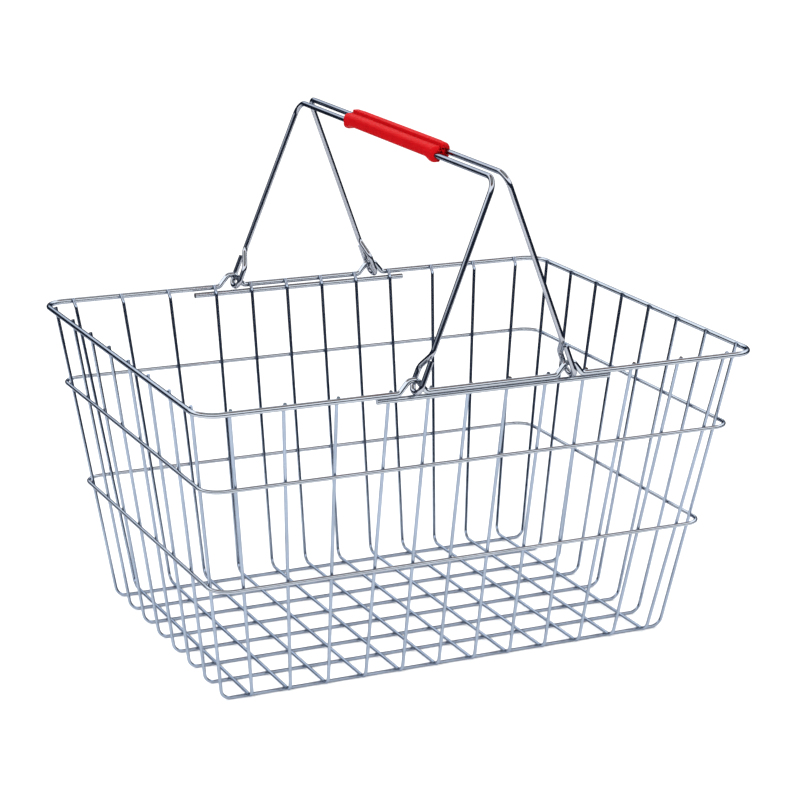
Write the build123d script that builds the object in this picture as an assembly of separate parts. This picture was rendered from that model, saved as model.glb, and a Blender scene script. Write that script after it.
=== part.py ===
from build123d import *
import math
import os

# Wire hand basket with two fold-down handles, millimetres.
# X runs along the long side, Y along the short side, Z is up.
# The underside of the lowest wires lies on z = 0, centred on the origin.

os.makedirs("parts", exist_ok=True)

# ---- wire sizes -------------------------------------------------------------
wall_wire_d = 2.5
hoop_wire_d = 3.0
rim_wire_d = 4.0
brace_wire_d = 4.0
handle_wire_d = 4.0

# depth by which two crossing wires melt into each other at a spot weld
weld_sink = 0.3

# ---- basket body ------------------------------------------------------------
# distances between the straight wall wires, axis to axis, at the height of the
# rim and where the bottom starts
top_length = 423.0
top_width = 319.2
bottom_length = 356.0
bottom_width = 242.0

rim_z = 226.0
upper_hoop_z = 168.5
lower_hoop_z = 91.5
wire_end_above_rim = 2.0

rim_corner_r = 16.0
hoop_corner_r = 14.0
wall_bend_r = 8.0

# twelve wires run down the front wall, across the bottom and up the back wall:
# six at an even pitch in the middle, then three at a wider pitch on each side
long_inner_pitch = 30.2
long_inner_count = 3
long_outer_count = 3
long_top_margin = 20.2
long_bottom_margin = 18.5

# eight wires run down the left wall, across the bottom and up the right wall
short_half_count = 4
short_top_margin = 16.8
short_bottom_margin = 10.9

# straight braces welded just under the rim where the handles hook in
brace_overhang = 14.5
brace_drop = 4.55
# hand-set welds: how far each brace sits along the wall from the middle
front_brace_shift = 4.5
back_brace_shift = -2.3

# the front and back wires pass inside the brace, then crank out to the rim
crank_above_brace = 1.05
crank_angle = 35.0
crank_bend_r = 4.0

# humps in the rim that leave a window for each handle eye
hump_wire_gap = 3.55
hump_top_half = 3.0
hump_bend_r = 4.0

# ---- handles ----------------------------------------------------------------
# height of the left bar above its hinge, and how much higher the right bar is
handle_height = 142.9
right_bar_step = 2.4
# the raised pair stands a little to the right of the middle of its windows
pair_shift = 2.2
leg_top_outside_rim = 0.3
leg_foot_outside_rim = 3.2
bar_corner_r = 10.0

# eye at each foot: the wire dips inside the rim, turns under it and ends in a
# short hook outside
eye_brace_clearance = 0.4
eye_hump_play = 4.95
eye_inner_clearance = 3.75
eye_outer_clearance = 1.75
eye_hook_lean = 0.6
eye_bend_r = 6.0
eye_inner_height = 17.0
eye_kink_height = 28.5
eye_hook_height = 24.0
kink_bend_r = 7.0

# ---- grip -------------------------------------------------------------------
grip_length = 154.0
grip_split_gap = 0.3
grip_bore_clearance = 0.05
grip_inner_wall = 1.85
grip_outer_wall = 1.5
grip_top_wall = 3.95
grip_under_wall = 0.9
grip_edge_r = 2.0
grip_inner_edge_r = 0.8
grip_end_drop = 2.5
grip_lip_length = 7.0
grip_ramp_length = 12.0
grip_end_r = 2.2
pocket_depth = 5.0
pocket_margin = 0.65
pocket_rise = 1.2

# ---- derived sizes ----------------------------------------------------------
wall_r = wall_wire_d / 2.0
hoop_r = hoop_wire_d / 2.0
rim_r = rim_wire_d / 2.0
brace_r = brace_wire_d / 2.0
handle_r = handle_wire_d / 2.0

# the wires along X lie lowest, the wires along Y are welded on top of them
short_bottom_z = wall_r
long_bottom_z = short_bottom_z + wall_wire_d - weld_sink

long_run = (top_width - bottom_width) / 2.0
short_run = (top_length - bottom_length) / 2.0
long_slope = math.atan2(long_run, rim_z - long_bottom_z)
short_slope = math.atan2(short_run, rim_z - short_bottom_z)

half_wires = long_inner_count + long_outer_count
long_inner_reach = long_inner_pitch * (long_inner_count - 0.5)
long_top_reach = top_length / 2.0 - long_top_margin
long_outer_pitch = (long_top_reach - long_inner_reach) / long_outer_count
long_bottom_pitch = (bottom_length / 2.0 - long_bottom_margin) / (half_wires - 0.5)
short_top_pitch = (top_width / 2.0 - short_top_margin) / (short_half_count - 0.5)
short_bottom_pitch = (bottom_width / 2.0 - short_bottom_margin) / (short_half_count - 0.5)

brace_z = rim_z - brace_drop
brace_half_length = long_inner_reach + brace_overhang

# each hump stands midway between the last two of the evenly pitched wires
hinge_x = long_inner_pitch * (long_inner_count - 1)
hinge_z = brace_z + brace_r + eye_brace_clearance + handle_r
hump_rise = hinge_z + handle_r + eye_hump_play + rim_r - rim_z
hump_base_half = long_inner_pitch / 2.0 - wall_r - hump_wire_gap

crank_z = brace_z + crank_above_brace
crank_slope = math.radians(crank_angle)

grip_bore_r = handle_r + grip_bore_clearance
bar_x = grip_split_gap / 2.0 + grip_inner_wall + grip_bore_r


def long_wall_y(z):
    """Distance from the middle to the wire axes of the front and back walls."""
    part_way = (z - long_bottom_z) / (rim_z - long_bottom_z)
    return bottom_width / 2.0 + long_run * part_way


def short_wall_x(z):
    """Distance from the middle to the wire axes of the left and right walls."""
    part_way = (z - short_bottom_z) / (rim_z - short_bottom_z)
    return bottom_length / 2.0 + short_run * part_way


def cranked_y(z):
    """Distance from the middle to the cranked tops of the same wires."""
    return long_wall_y(crank_z) + (z - crank_z) * math.tan(crank_slope)


def ring_y(z, ring_r):
    """Axis of a wire welded to the outside of the front and back walls."""
    return long_wall_y(z) + (wall_r + ring_r - weld_sink) / math.cos(long_slope)


def ring_x(z, ring_r):
    """Axis of a ring welded to the outside of the left and right walls."""
    return short_wall_x(z) + (wall_r + ring_r - weld_sink) / math.cos(short_slope)


rim_x = ring_x(rim_z, rim_r)
rim_y = cranked_y(rim_z) + (wall_r + rim_r - weld_sink) / math.cos(crank_slope)


def round_wire(points, bends, wire_r):
    """A round wire that follows an open line of points with bent corners."""
    path = FilletPolyline(*points, radius=bends)
    section = Plane(origin=path @ 0, z_dir=path % 0) * Circle(wire_r)
    return sweep(section, path=path)


def save(shape, name):
    """Write one piece to its own STEP file."""
    export_step(shape, "parts/" + name + ".step")


# ---- bottom and walls -------------------------------------------------------
def long_wire(top_x, bottom_x):
    """One wire down the front wall, across the bottom and up the back wall."""
    spread = (top_x - bottom_x) / (rim_z - long_bottom_z)
    end_z = rim_z + wire_end_above_rim
    end_x = bottom_x + spread * (end_z - long_bottom_z)
    crank_x = bottom_x + spread * (crank_z - long_bottom_z)
    half = [
        (end_x, cranked_y(end_z), end_z),
        (crank_x, long_wall_y(crank_z), crank_z),
        (bottom_x, bottom_width / 2.0, long_bottom_z),
    ]
    points = [(x, -y, z) for x, y, z in half] + half[::-1]
    bends = [crank_bend_r, wall_bend_r, wall_bend_r, crank_bend_r]
    return round_wire(points, bends, wall_r)


def short_wire(top_y, bottom_y):
    """One wire down the left wall, across the bottom and up the right wall."""
    end_z = rim_z + wire_end_above_rim
    end_x = short_wall_x(end_z)
    end_y = bottom_y + (top_y - bottom_y) * (end_z - short_bottom_z) / (rim_z - short_bottom_z)
    foot_x = bottom_length / 2.0
    points = [
        (-end_x, end_y, end_z),
        (-foot_x, bottom_y, short_bottom_z),
        (foot_x, bottom_y, short_bottom_z),
        (end_x, end_y, end_z),
    ]
    return round_wire(points, wall_bend_r, wall_r)


def long_top_x(count):
    """Distance from the middle to a wire at the rim, counted outwards from 0."""
    if count < long_inner_count:
        return long_inner_pitch * (count + 0.5)
    return long_inner_reach + long_outer_pitch * (count + 1 - long_inner_count)


for index in range(2 * half_wires):
    step = index + 0.5 - half_wires
    side = math.copysign(1.0, step)
    top_x = side * long_top_x(int(abs(step)))
    save(long_wire(top_x, long_bottom_pitch * step), f"long_wire_{index + 1:02d}")

for index in range(2 * short_half_count):
    step = index + 0.5 - short_half_count
    save(short_wire(short_top_pitch * step, short_bottom_pitch * step), f"short_wire_{index + 1}")


# ---- hoops, rim and braces --------------------------------------------------
def hoop(z, wire_r):
    """A plain ring around the outside of the walls at one height."""
    reach_x = ring_x(z, wire_r)
    reach_y = ring_y(z, wire_r)
    points = [
        (-reach_x, 0.0, z),
        (-reach_x, -reach_y, z),
        (reach_x, -reach_y, z),
        (reach_x, 0.0, z),
    ]
    front = round_wire(points, hoop_corner_r, wire_r)
    return front + mirror(front, about=Plane.XZ)


def rim():
    """The top ring with two humps on each long side."""
    points = [(-rim_x, 0.0, rim_z), (-rim_x, -rim_y, rim_z)]
    bends = [rim_corner_r]
    for side in (-1.0, 1.0):
        middle = side * hinge_x
        points.append((middle - hump_base_half, -rim_y, rim_z))
        points.append((middle - hump_top_half, -rim_y, rim_z + hump_rise))
        points.append((middle + hump_top_half, -rim_y, rim_z + hump_rise))
        points.append((middle + hump_base_half, -rim_y, rim_z))
        bends += [hump_bend_r] * 4
    points.append((rim_x, -rim_y, rim_z))
    points.append((rim_x, 0.0, rim_z))
    bends.append(rim_corner_r)
    front = round_wire(points, bends, rim_r)
    return front + mirror(front, about=Plane.XZ)


def brace(side, shift):
    """A straight wire under the rim on one long side, set a little off the middle."""
    reach_y = side * ring_y(brace_z, brace_r)
    wire = Cylinder(brace_r, 2.0 * brace_half_length, rotation=(0, 90, 0))
    return Pos(shift, reach_y, brace_z) * wire


save(rim(), "rim")
save(hoop(upper_hoop_z, hoop_r), "upper_hoop")
save(hoop(lower_hoop_z, hoop_r), "lower_hoop")
save(brace(-1.0, front_brace_shift), "front_brace")
save(brace(1.0, back_brace_shift), "back_brace")


# ---- handles ----------------------------------------------------------------
leg_foot_y = rim_y + leg_foot_outside_rim
leg_top_y = rim_y + leg_top_outside_rim
eye_inner_y = rim_y - rim_r - eye_inner_clearance - handle_r
eye_outer_y = rim_y + rim_r + eye_outer_clearance + handle_r
eye_end_y = eye_outer_y - eye_hook_lean


def bar_height(side):
    """Height of a bar above its hinge; the right bar stands a little higher."""
    return handle_height + (right_bar_step if side > 0 else 0.0)


def handle(side):
    """A bail of one bent wire; side is -1 for the left and 1 for the right."""
    leg_length = math.hypot(hinge_x - bar_x, bar_height(side))
    lean_x = (hinge_x - bar_x) / leg_length
    lean_z = bar_height(side) / leg_length
    outline = [
        (-eye_end_y, eye_hook_height),
        (-eye_outer_y, 0.0),
        (-eye_inner_y, 0.0),
        (-eye_inner_y, eye_inner_height),
        (-leg_foot_y, eye_kink_height),
        (-leg_top_y, leg_length),
    ]
    bends = [eye_bend_r, eye_bend_r, kink_bend_r, kink_bend_r, bar_corner_r]
    outline += [(-y, s) for y, s in reversed(outline)]
    bends += list(reversed(bends))
    points = []
    for y, s in outline:
        x = pair_shift + side * (hinge_x - lean_x * s)
        points.append((x, y, hinge_z + lean_z * s))
    return round_wire(points, bends, handle_r)


# ---- grip halves ------------------------------------------------------------
def grip_half(side):
    """One half of the grip, moulded around the bar of one handle."""
    inner_x = grip_split_gap / 2.0
    outer_x = bar_x + grip_bore_r + grip_outer_wall
    half = grip_length / 2.0
    bar_z = hinge_z + bar_height(side)
    top = bar_z + grip_bore_r + grip_top_wall
    low = bar_z - grip_bore_r - grip_under_wall
    lip = low - grip_end_drop
    profile = [
        (-half, top),
        (half, top),
        (half, lip),
        (half - grip_lip_length, lip),
        (half - grip_lip_length - grip_ramp_length, low),
        (-half + grip_lip_length + grip_ramp_length, low),
        (-half + grip_lip_length, lip),
        (-half, lip),
    ]
    face = make_face(Polyline(*[(0.0, y, z) for y, z in profile], close=True))
    face = fillet(face.vertices(), grip_end_r)
    body = extrude(face, amount=outer_x - inner_x, dir=(1, 0, 0))
    body = Pos(inner_x, 0, 0) * body
    outer = body.edges().filter_by_position(Axis.X, outer_x - 0.01, outer_x + 0.01)
    body = fillet(outer, grip_edge_r)
    split = body.edges().filter_by_position(Axis.X, inner_x - 0.01, inner_x + 0.01)
    body = fillet(split, grip_inner_edge_r)
    bore = Cylinder(grip_bore_r, 2.0 * grip_length, rotation=(90, 0, 0))
    body -= Pos(bar_x, 0, bar_z) * bore
    pocket_r = grip_bore_r + pocket_margin
    for end_y in (-half, half):
        for rise in (0.0, pocket_rise):
            pocket = Cylinder(pocket_r, 2.0 * pocket_depth, rotation=(90, 0, 0))
            body -= Pos(bar_x, end_y, bar_z + rise) * pocket
        gap = Box(2.0 * pocket_r, 2.0 * pocket_depth, pocket_rise)
        body -= Pos(bar_x, end_y, bar_z + pocket_rise / 2.0) * gap
    if side < 0:
        body = mirror(body, about=Plane.YZ)
    return Pos(pair_shift, 0, 0) * body


save(handle(-1.0), "left_handle")
save(handle(1.0), "right_handle")
save(grip_half(-1.0), "left_grip_half")
save(grip_half(1.0), "right_grip_half")
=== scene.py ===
# %% [markdown]
# # A wire hand basket with two fold-down handles
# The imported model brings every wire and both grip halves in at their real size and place.
# This lesson gives them their finishes, adds the small details that welding and moulding
# leave behind, and sets a plain studio round them.

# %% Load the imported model
import math

import bmesh
import bpy
from mathutils import Matrix, Vector


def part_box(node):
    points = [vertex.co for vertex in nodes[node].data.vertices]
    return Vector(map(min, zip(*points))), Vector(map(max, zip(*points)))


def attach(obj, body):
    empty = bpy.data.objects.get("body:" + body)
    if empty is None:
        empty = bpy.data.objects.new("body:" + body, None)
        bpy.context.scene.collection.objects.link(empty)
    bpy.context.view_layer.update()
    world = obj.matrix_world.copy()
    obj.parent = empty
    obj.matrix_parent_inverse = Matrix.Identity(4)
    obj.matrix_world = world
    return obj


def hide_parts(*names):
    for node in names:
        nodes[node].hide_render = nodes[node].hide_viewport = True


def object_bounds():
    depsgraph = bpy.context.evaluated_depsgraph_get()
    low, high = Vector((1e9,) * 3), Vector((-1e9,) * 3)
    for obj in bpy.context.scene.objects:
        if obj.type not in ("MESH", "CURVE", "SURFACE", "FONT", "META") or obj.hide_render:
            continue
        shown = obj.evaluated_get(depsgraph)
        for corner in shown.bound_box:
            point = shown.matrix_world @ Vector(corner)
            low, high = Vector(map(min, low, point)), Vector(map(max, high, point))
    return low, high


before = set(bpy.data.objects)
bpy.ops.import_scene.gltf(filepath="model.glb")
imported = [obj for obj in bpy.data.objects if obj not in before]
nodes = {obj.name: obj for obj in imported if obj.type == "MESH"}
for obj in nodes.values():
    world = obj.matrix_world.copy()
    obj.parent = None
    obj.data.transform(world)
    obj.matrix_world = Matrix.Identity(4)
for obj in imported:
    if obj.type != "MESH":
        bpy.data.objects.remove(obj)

cad_low, cad_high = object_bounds()
print("pieces:", len(nodes), "box:", tuple(cad_low), tuple(cad_high))

# %% [markdown]
# ## The camera
# The basket is seen from above its front left corner with a long lens, so its sides stay
# nearly parallel. The camera turns round a point close to the middle of the object's box, so
# it follows that middle if the basket changes. Its distance is fixed and would need changing.

# %% Place the camera
view_azimuth = math.radians(25.73)
view_elevation = math.radians(16.28)
view_roll = math.radians(0.9)
view_distance = 1.845
look_shift = Vector((0.0057, -0.0083, -0.0174))
look_at = (cad_low + cad_high) / 2 + look_shift

forward = Vector((
    math.sin(view_azimuth) * math.cos(view_elevation),
    math.cos(view_azimuth) * math.cos(view_elevation),
    -math.sin(view_elevation),
))
level_right = Vector((math.cos(view_azimuth), -math.sin(view_azimuth), 0.0))
level_up = level_right.cross(forward)
camera_right = level_right * math.cos(view_roll) + level_up * math.sin(view_roll)
camera_up = level_up * math.cos(view_roll) - level_right * math.sin(view_roll)

camera_data = bpy.data.cameras.new("camera")
camera_data.sensor_width = 36.0
camera_data.lens = 111.1
camera = bpy.data.objects.new("camera", camera_data)
bpy.context.scene.collection.objects.link(camera)
turn = Matrix((camera_right, camera_up, -forward)).transposed().to_4x4()
camera.matrix_world = Matrix.Translation(look_at - forward * view_distance) @ turn
bpy.context.scene.camera = camera
print("camera at", tuple(round(v, 3) for v in camera.matrix_world.translation))

# %% [markdown]
# ## Small helpers
# A material is a graph of nodes. These helpers add a node with its values and join
# sockets, so that each finish below reads as a short list of what it is made of.


# %% Helpers for objects and node graphs
def mesh_object(name, mesh_in_progress, material):
    """Turn a finished bmesh into an object at the origin with one material."""
    mesh = bpy.data.meshes.new(name)
    mesh_in_progress.to_mesh(mesh)
    mesh_in_progress.free()
    mesh.materials.append(material)
    made = bpy.data.objects.new(name, mesh)
    bpy.context.scene.collection.objects.link(made)
    return made


def add_node(graph, kind, **values):
    """Add a node; values are its settings, or its inputs by socket name."""
    node = graph.nodes.new(kind)
    for key, value in values.items():
        socket = key.replace("_", " ").title()
        if hasattr(node, key):
            setattr(node, key, value)
        elif socket in node.inputs:
            node.inputs[socket].default_value = value
        else:
            raise KeyError(f"{kind} has no setting or input {key}")
    return node


def set_ramp(ramp, stops):
    """Give a colour ramp its stops as (position, colour) pairs."""
    elements = ramp.color_ramp.elements
    while len(elements) > 1:
        elements.remove(elements[-1])
    elements[0].position, elements[0].color = stops[0][0], (*stops[0][1], 1.0)
    for position, colour in stops[1:]:
        elements.new(position).color = (*colour, 1.0)


def new_material(name):
    """A material with its graph cleared down to one shader and the output."""
    material = bpy.data.materials.new(name)
    material.use_nodes = True
    graph = material.node_tree
    graph.nodes.clear()
    shader = graph.nodes.new("ShaderNodeBsdfPrincipled")
    output = graph.nodes.new("ShaderNodeOutputMaterial")
    graph.links.new(shader.outputs["BSDF"], output.inputs["Surface"])
    return material, graph, shader


# %% [markdown]
# ## Floor and light
# Bright wire has hardly any colour of its own: it shows whatever stands round it. A small
# white table under the basket gives the pale undersides, and a dark room beyond the table
# gives the near-black lines. A bright band of wall above it gives the streaks on top. The
# world holds the room as bands by height; the camera itself sees a plain white page.

# %% Floor
table_radius = 0.85
floor_material, graph, shader = new_material("white_table")
shader.inputs["Base Color"].default_value = (0.93, 0.935, 0.94, 1.0)
shader.inputs["Roughness"].default_value = 0.6

outline = bmesh.new()
bmesh.ops.create_circle(outline, cap_ends=True, segments=96, radius=table_radius)
floor = mesh_object("floor", outline, floor_material)
print("floor radius", table_radius)

# %% Room and overhead light
world = bpy.data.worlds.new("studio")
bpy.context.scene.world = world
world.use_nodes = True
graph = world.node_tree
graph.nodes.clear()
direction = graph.nodes.new("ShaderNodeTexCoord")
split = graph.nodes.new("ShaderNodeSeparateXYZ")
height = graph.nodes.new("ShaderNodeMapRange")
height.inputs["From Min"].default_value = -1.0
bands = graph.nodes.new("ShaderNodeValToRGB")
set_ramp(bands, [
    (0.00, (0.020, 0.024, 0.036)),
    (0.40, (0.012, 0.016, 0.028)),
    (0.62, (0.008, 0.014, 0.028)),
    (0.65, (0.18, 0.20, 0.24)),
    (0.675, (0.95, 0.98, 1.0)),
    (0.86, (1.0, 1.0, 0.98)),
    (0.885, (0.16, 0.085, 0.06)),
    (0.94, (0.11, 0.06, 0.045)),
    (0.97, (0.25, 0.28, 0.27)),
])
room = graph.nodes.new("ShaderNodeBackground")
room.inputs["Strength"].default_value = 2.1
page = graph.nodes.new("ShaderNodeBackground")
page.inputs["Color"].default_value = (1.0, 1.0, 1.0, 1.0)
page.inputs["Strength"].default_value = 1.2
ray = graph.nodes.new("ShaderNodeLightPath")
choose = graph.nodes.new("ShaderNodeMixShader")
world_output = graph.nodes.new("ShaderNodeOutputWorld")
graph.links.new(direction.outputs["Generated"], split.inputs["Vector"])
graph.links.new(split.outputs["Z"], height.inputs["Value"])
graph.links.new(height.outputs["Result"], bands.inputs["Fac"])
graph.links.new(bands.outputs["Color"], room.inputs["Color"])
graph.links.new(ray.outputs["Is Camera Ray"], choose.inputs["Fac"])
graph.links.new(room.outputs["Background"], choose.inputs[1])
graph.links.new(page.outputs["Background"], choose.inputs[2])
graph.links.new(choose.outputs["Shader"], world_output.inputs["Surface"])

bpy.context.scene.view_settings.view_transform = "Standard"
print("room bands:", len(bands.color_ramp.elements))

# %% [markdown]
# Two wide soft lights brighten the table and the plastic. The wire doesn't mirror them, so
# that its streaks come from the room alone.


# %% Softboxes
def softbox(name, place, size, power, colour):
    """A square area light that faces the middle of the basket."""
    light = bpy.data.lights.new(name, "AREA")
    light.shape = "SQUARE"
    light.size = size
    light.energy = power
    light.color = colour
    lamp = bpy.data.objects.new(name, light)
    bpy.context.scene.collection.objects.link(lamp)
    lamp.location = place
    lamp.rotation_mode = "QUATERNION"
    lamp.rotation_quaternion = (look_at - Vector(place)).to_track_quat("-Z", "Y")
    return lamp


overhead = softbox("overhead", (-0.2, 0.1, 2.4), 3.2, 34.0, (1.0, 0.995, 0.985))
front_left = softbox("front_left", (-1.9, -1.5, 1.3), 1.3, 36.0, (0.98, 0.985, 1.0))
for lamp in (overhead, front_left):
    lamp.visible_glossy = False

# %% [markdown]
# ## Bright plated wire
# Drawn steel wire is plated with a thin bright layer. It is a mirror with small faults: the
# plating clouds a little from place to place, and fine pits break up the reflection. Both
# come from noise, one wide and one very fine, on Object coordinates. The tint at grazing
# angles is darker, which paints a dark reflection along the edges of each wire. The tints
# are darker than clean plating: they are set for this studio, and would look dull in another.


# %% Plated wire material
def plated_wire(name, tint, gloss, pit_depth):
    """A bright metal whose colour, gloss and surface vary slightly."""
    material, graph, shader = new_material(name)
    shader.inputs["Metallic"].default_value = 1.0
    # The darker grazing tint paints a dark reflection along the edges of every wire.
    shader.inputs["Specular Tint"].default_value = (0.30, 0.34, 0.42, 1.0)
    place = graph.nodes.new("ShaderNodeTexCoord")
    cloud = add_node(graph, "ShaderNodeTexNoise", scale=38.0, detail=3.0)
    fine = add_node(graph, "ShaderNodeTexNoise", scale=1400.0, detail=4.0)
    colours = graph.nodes.new("ShaderNodeValToRGB")
    darker = tuple(0.86 * channel for channel in tint)
    set_ramp(colours, [(0.35, darker), (0.65, tint)])
    gloss_range = graph.nodes.new("ShaderNodeMapRange")
    gloss_range.inputs["To Min"].default_value = gloss
    gloss_range.inputs["To Max"].default_value = gloss + 0.10
    pits = add_node(graph, "ShaderNodeBump", strength=0.25, distance=pit_depth)
    graph.links.new(place.outputs["Object"], cloud.inputs["Vector"])
    graph.links.new(place.outputs["Object"], fine.inputs["Vector"])
    graph.links.new(cloud.outputs["Fac"], colours.inputs["Fac"])
    graph.links.new(colours.outputs["Color"], shader.inputs["Base Color"])
    graph.links.new(cloud.outputs["Fac"], gloss_range.inputs["Value"])
    graph.links.new(gloss_range.outputs["Result"], shader.inputs["Roughness"])
    graph.links.new(fine.outputs["Fac"], pits.inputs["Height"])
    graph.links.new(pits.outputs["Normal"], shader.inputs["Normal"])
    return material


wall_finish = plated_wire("plated_wall_wire", (0.31, 0.365, 0.46), 0.09, 0.00005)
heavy_finish = plated_wire("plated_heavy_wire", (0.42, 0.455, 0.51), 0.07, 0.00005)
handle_finish = plated_wire("plated_handle_wire", (0.36, 0.38, 0.43), 0.05, 0.00004)

# %% [markdown]
# ## Red grip plastic
# The grip is soft red plastic with a broad, low gloss and a fine moulded grain.


# %% Grip material
grip_finish, graph, shader = new_material("red_grip_plastic")
shader.inputs["Roughness"].default_value = 0.55
shader.inputs["Specular IOR Level"].default_value = 0.05
shader.inputs["Subsurface Weight"].default_value = 0.05
shader.inputs["Subsurface Scale"].default_value = 0.003
place = graph.nodes.new("ShaderNodeTexCoord")
cloud = add_node(graph, "ShaderNodeTexNoise", scale=60.0, detail=2.0)
colours = graph.nodes.new("ShaderNodeValToRGB")
set_ramp(colours, [(0.3, (0.42, 0.0012, 0.004)), (0.7, (0.47, 0.002, 0.005))])
grain = add_node(graph, "ShaderNodeTexNoise", scale=2600.0, detail=2.0)
bump = add_node(graph, "ShaderNodeBump", strength=0.3, distance=0.00005)
graph.links.new(place.outputs["Object"], cloud.inputs["Vector"])
graph.links.new(place.outputs["Object"], grain.inputs["Vector"])
graph.links.new(cloud.outputs["Fac"], colours.inputs["Fac"])
graph.links.new(colours.outputs["Color"], shader.inputs["Base Color"])
graph.links.new(grain.outputs["Fac"], bump.inputs["Height"])
graph.links.new(bump.outputs["Normal"], shader.inputs["Normal"])

# %% [markdown]
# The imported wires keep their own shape, so they only need a finish, chosen by their names.

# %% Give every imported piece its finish
finish_of = {}
for name in nodes:
    if "grip" in name:
        finish_of[name] = grip_finish
    elif "handle" in name:
        finish_of[name] = handle_finish
    elif name.startswith(("long_wire", "short_wire")):
        finish_of[name] = wall_finish
    else:
        finish_of[name] = heavy_finish
for name, finish in finish_of.items():
    nodes[name].data.materials.clear()
    nodes[name].data.materials.append(finish)
print("finished", len(finish_of), "pieces")

# %% [markdown]
# ## Moulded grip halves
# Each half is a long rounded block moulded round its bar. Its ends swell downwards into a
# soft lip and are well rounded, and a shallow pocket lets the bar in. The block is built from
# rounded outlines set side by side along the bar. At each end three rings turn back inside
# and make the pocket.


# %% Rounded outlines
def rounded_outline(left, right, low, high, corners, steps=6):
    """Points round a rectangle; corners are radii from low left, anticlockwise."""
    points = []
    centres = [
        (left, low, 1, 1, 180), (right, low, -1, 1, 270),
        (right, high, -1, -1, 0), (left, high, 1, -1, 90),
    ]
    for (x, z, inward_x, inward_z, start), radius in zip(centres, corners):
        for step in range(steps + 1):
            angle = math.radians(start + 90 * step / steps)
            points.append((
                x + inward_x * radius + radius * math.cos(angle),
                z + inward_z * radius + radius * math.sin(angle),
            ))
    return points


def soft_step(value):
    """Rise smoothly from 0 to 1 as value goes from 0 to 1."""
    value = min(max(value, 0.0), 1.0)
    return value * value * (3.0 - 2.0 * value)


def grip_shape(node_name, side, bar_x, bar_z):
    """One grip half; side is -1 for the left half and 1 for the right half."""
    low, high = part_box(node_name)
    inner, outer = (low.x, high.x) if side > 0 else (high.x, low.x)
    width = abs(outer - inner)
    half_length = (high.y - low.y) / 2.0
    drop = 0.0025
    end_r = 0.0040
    lip_flat = 0.0055
    lip_ramp = 0.0085
    side_depths = (0.0045, 0.006, 0.0075, 0.009, 0.0105, 0.012, 0.0135, 0.015, 0.026, 0.05)
    stations = []
    for index in range(7):
        angle = math.radians(90 * index / 6)
        y = half_length - end_r * (1.0 - math.cos(angle))
        stations.append((y, end_r * (1.0 - math.sin(angle))))
    for depth in side_depths:
        stations.append((half_length - depth, 0.0))
    stations += [(-y, inset) for y, inset in reversed(stations)]
    shape = bmesh.new()
    rings = []
    for y, inset in stations:
        from_end = half_length - abs(y)
        lip = drop * (1.0 - soft_step((from_end - lip_flat) / lip_ramp))
        edge = min(1.0, inset / end_r)
        corner = 0.0022 + 0.0006 * edge + 0.0010 * lip / drop
        outline = rounded_outline(
            0.7 * inset, width - 0.9 * inset, low.z + drop - lip + 0.8 * inset, high.z - inset,
            (0.0010, corner, corner + 0.0008, 0.0007),
        )
        rings.append([shape.verts.new((inner + side * u, y, z)) for u, z in outline])
    pocket_r = 0.0029
    pocket_lip = 0.0006
    pocket_depth = 0.005
    pocket_rings = (
        (0.0, pocket_r + pocket_lip),
        (pocket_lip, pocket_r),
        (pocket_depth, pocket_r * 0.9),
    )
    for end, ring_at in ((1.0, 0), (-1.0, len(rings) - 1)):
        outer_ring = rings[ring_at]
        last = outer_ring
        for depth, radius in pocket_rings:
            y = end * (half_length - depth)
            loop = []
            for vert in outer_ring:
                angle = math.atan2(vert.co.z - bar_z, vert.co.x - bar_x)
                x = bar_x + radius * math.cos(angle)
                loop.append(shape.verts.new((x, y, bar_z + radius * math.sin(angle))))
            for index in range(len(loop)):
                follow = (index + 1) % len(loop)
                shape.faces.new((last[index], last[follow], loop[follow], loop[index]))
            last = loop
        shape.faces.new(last)
    for first, second in zip(rings, rings[1:]):
        for index in range(len(first)):
            follow = (index + 1) % len(first)
            shape.faces.new((first[index], first[follow], second[follow], second[index]))
    bmesh.ops.recalc_face_normals(shape, faces=shape.faces)
    for face in shape.faces:
        face.smooth = True
    return shape


# %% Put the grip halves on their bars
handle_wire_r = 0.002
for side, word in ((-1, "left"), (1, "right")):
    node_name = word + "_grip_half"
    handle_low, handle_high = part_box(word + "_handle")
    bar_z = handle_high.z - handle_wire_r
    bar_x = (handle_high.x - handle_wire_r) if side < 0 else (handle_low.x + handle_wire_r)
    shape = grip_shape(node_name, side, bar_x, bar_z)
    piece = mesh_object(word + "_grip_shell", shape, grip_finish)
    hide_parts(node_name)
    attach(piece, word + "_bail")
    print(piece.name, "faces:", len(piece.data.polygons))

# %% [markdown]
# ## Weld beads
# Every crossing of two wires is a small resistance weld: the metal softens, sinks together
# and leaves a slightly swollen, rougher spot. One low bead stands at each crossing. The beads'
# dark plating is painted shade and painted dark reflection where two wires meet. The places
# come from the boxes of the imported wires, which all lean outwards at an even rate.


# %% Places where wires cross
wall_wire_d = 0.0025
rim_wire_d = 0.004


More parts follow.
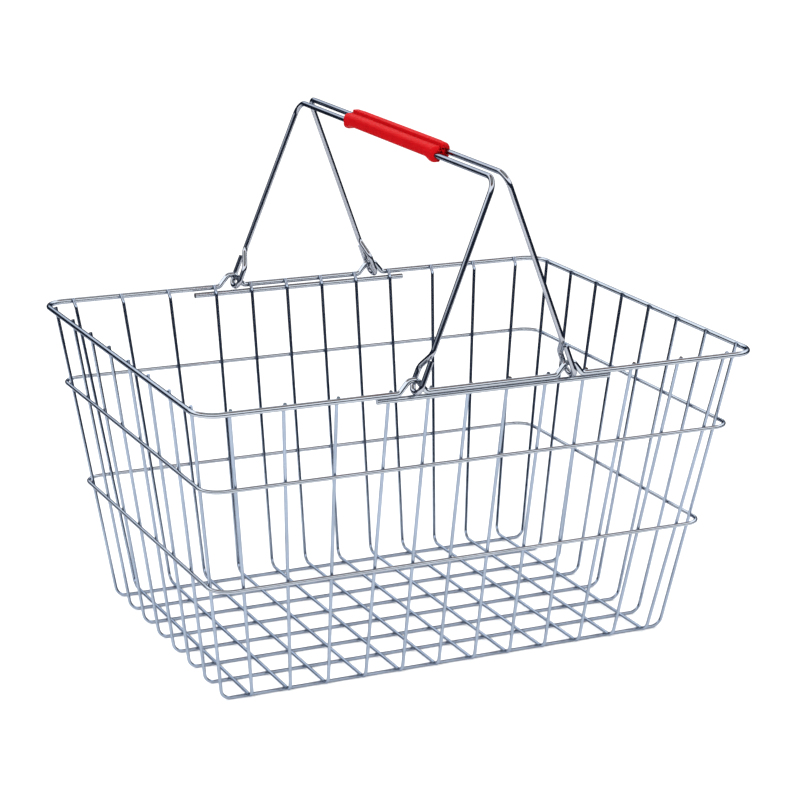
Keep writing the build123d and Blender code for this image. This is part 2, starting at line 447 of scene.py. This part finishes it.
def wire_place(node_name, axis, level):
    """How far a wall wire stands from the middle along one axis at a height."""
    low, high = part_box(node_name)
    radius = wall_wire_d / 2.0
    sign = 1.0 if low[axis] + high[axis] > 0 else -1.0
    near, far = sorted((abs(low[axis]), abs(high[axis])))
    foot = low.z + radius
    part_way = max(0.0, (level - foot) / (high.z - foot))
    return sign * (near + radius + (far - near - 2.0 * radius) * part_way)


long_names = sorted(name for name in nodes if name.startswith("long_wire"))
short_names = sorted(name for name in nodes if name.startswith("short_wire"))
bottom_places = []
for long_name in long_names:
    for short_name in short_names:
        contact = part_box(short_name)[0].z + wall_wire_d
        bottom_places.append((
            wire_place(long_name, 0, 0.0), wire_place(short_name, 1, 0.0), contact,
        ))
wall_places = []
for ring_name in ("lower_hoop", "upper_hoop", "rim"):
    low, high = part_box(ring_name)
    wire_d = rim_wire_d if ring_name == "rim" else high.z - low.z
    level = low.z + wire_d / 2.0
    for side in (-1.0, 1.0):
        for name in long_names:
            wall_places.append((wire_place(name, 0, level), side * (high.y - wire_d), level))
        for name in short_names:
            wall_places.append((side * (high.x - wire_d), wire_place(name, 1, level), level))
for brace_name in ("front_brace", "back_brace"):
    low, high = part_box(brace_name)
    level = (low.z + high.z) / 2.0
    inner_face = high.y if high.y < 0 else low.y
    for name in long_names:
        x = wire_place(name, 0, level)
        if low.x < x < high.x:
            wall_places.append((x, inner_face, level))

# %% Weld beads
# The beads' dark plating is painted shade at the crossings, not a colour of the weld itself.
weld_and_painted_shade_finish = plated_wire("weld_plating_painted_shade", (0.19, 0.21, 0.25), 0.22, 0.0003)
for group, places, size in (
    ("weld_beads_bottom", bottom_places, (0.0015, 0.0015, 0.0008)),
    ("weld_beads_walls", wall_places, (0.0013, 0.0013, 0.0012)),
):
    beads = bmesh.new()
    for place in places:
        shift = Matrix.Translation(place) @ Matrix.Diagonal((*size, 1.0))
        bmesh.ops.create_uvsphere(beads, u_segments=8, v_segments=5, radius=1.0, matrix=shift)
    for face in beads.faces:
        face.smooth = True
    piece = mesh_object(group, beads, weld_and_painted_shade_finish)
    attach(piece, "basket")
    print(group, "beads:", len(places))
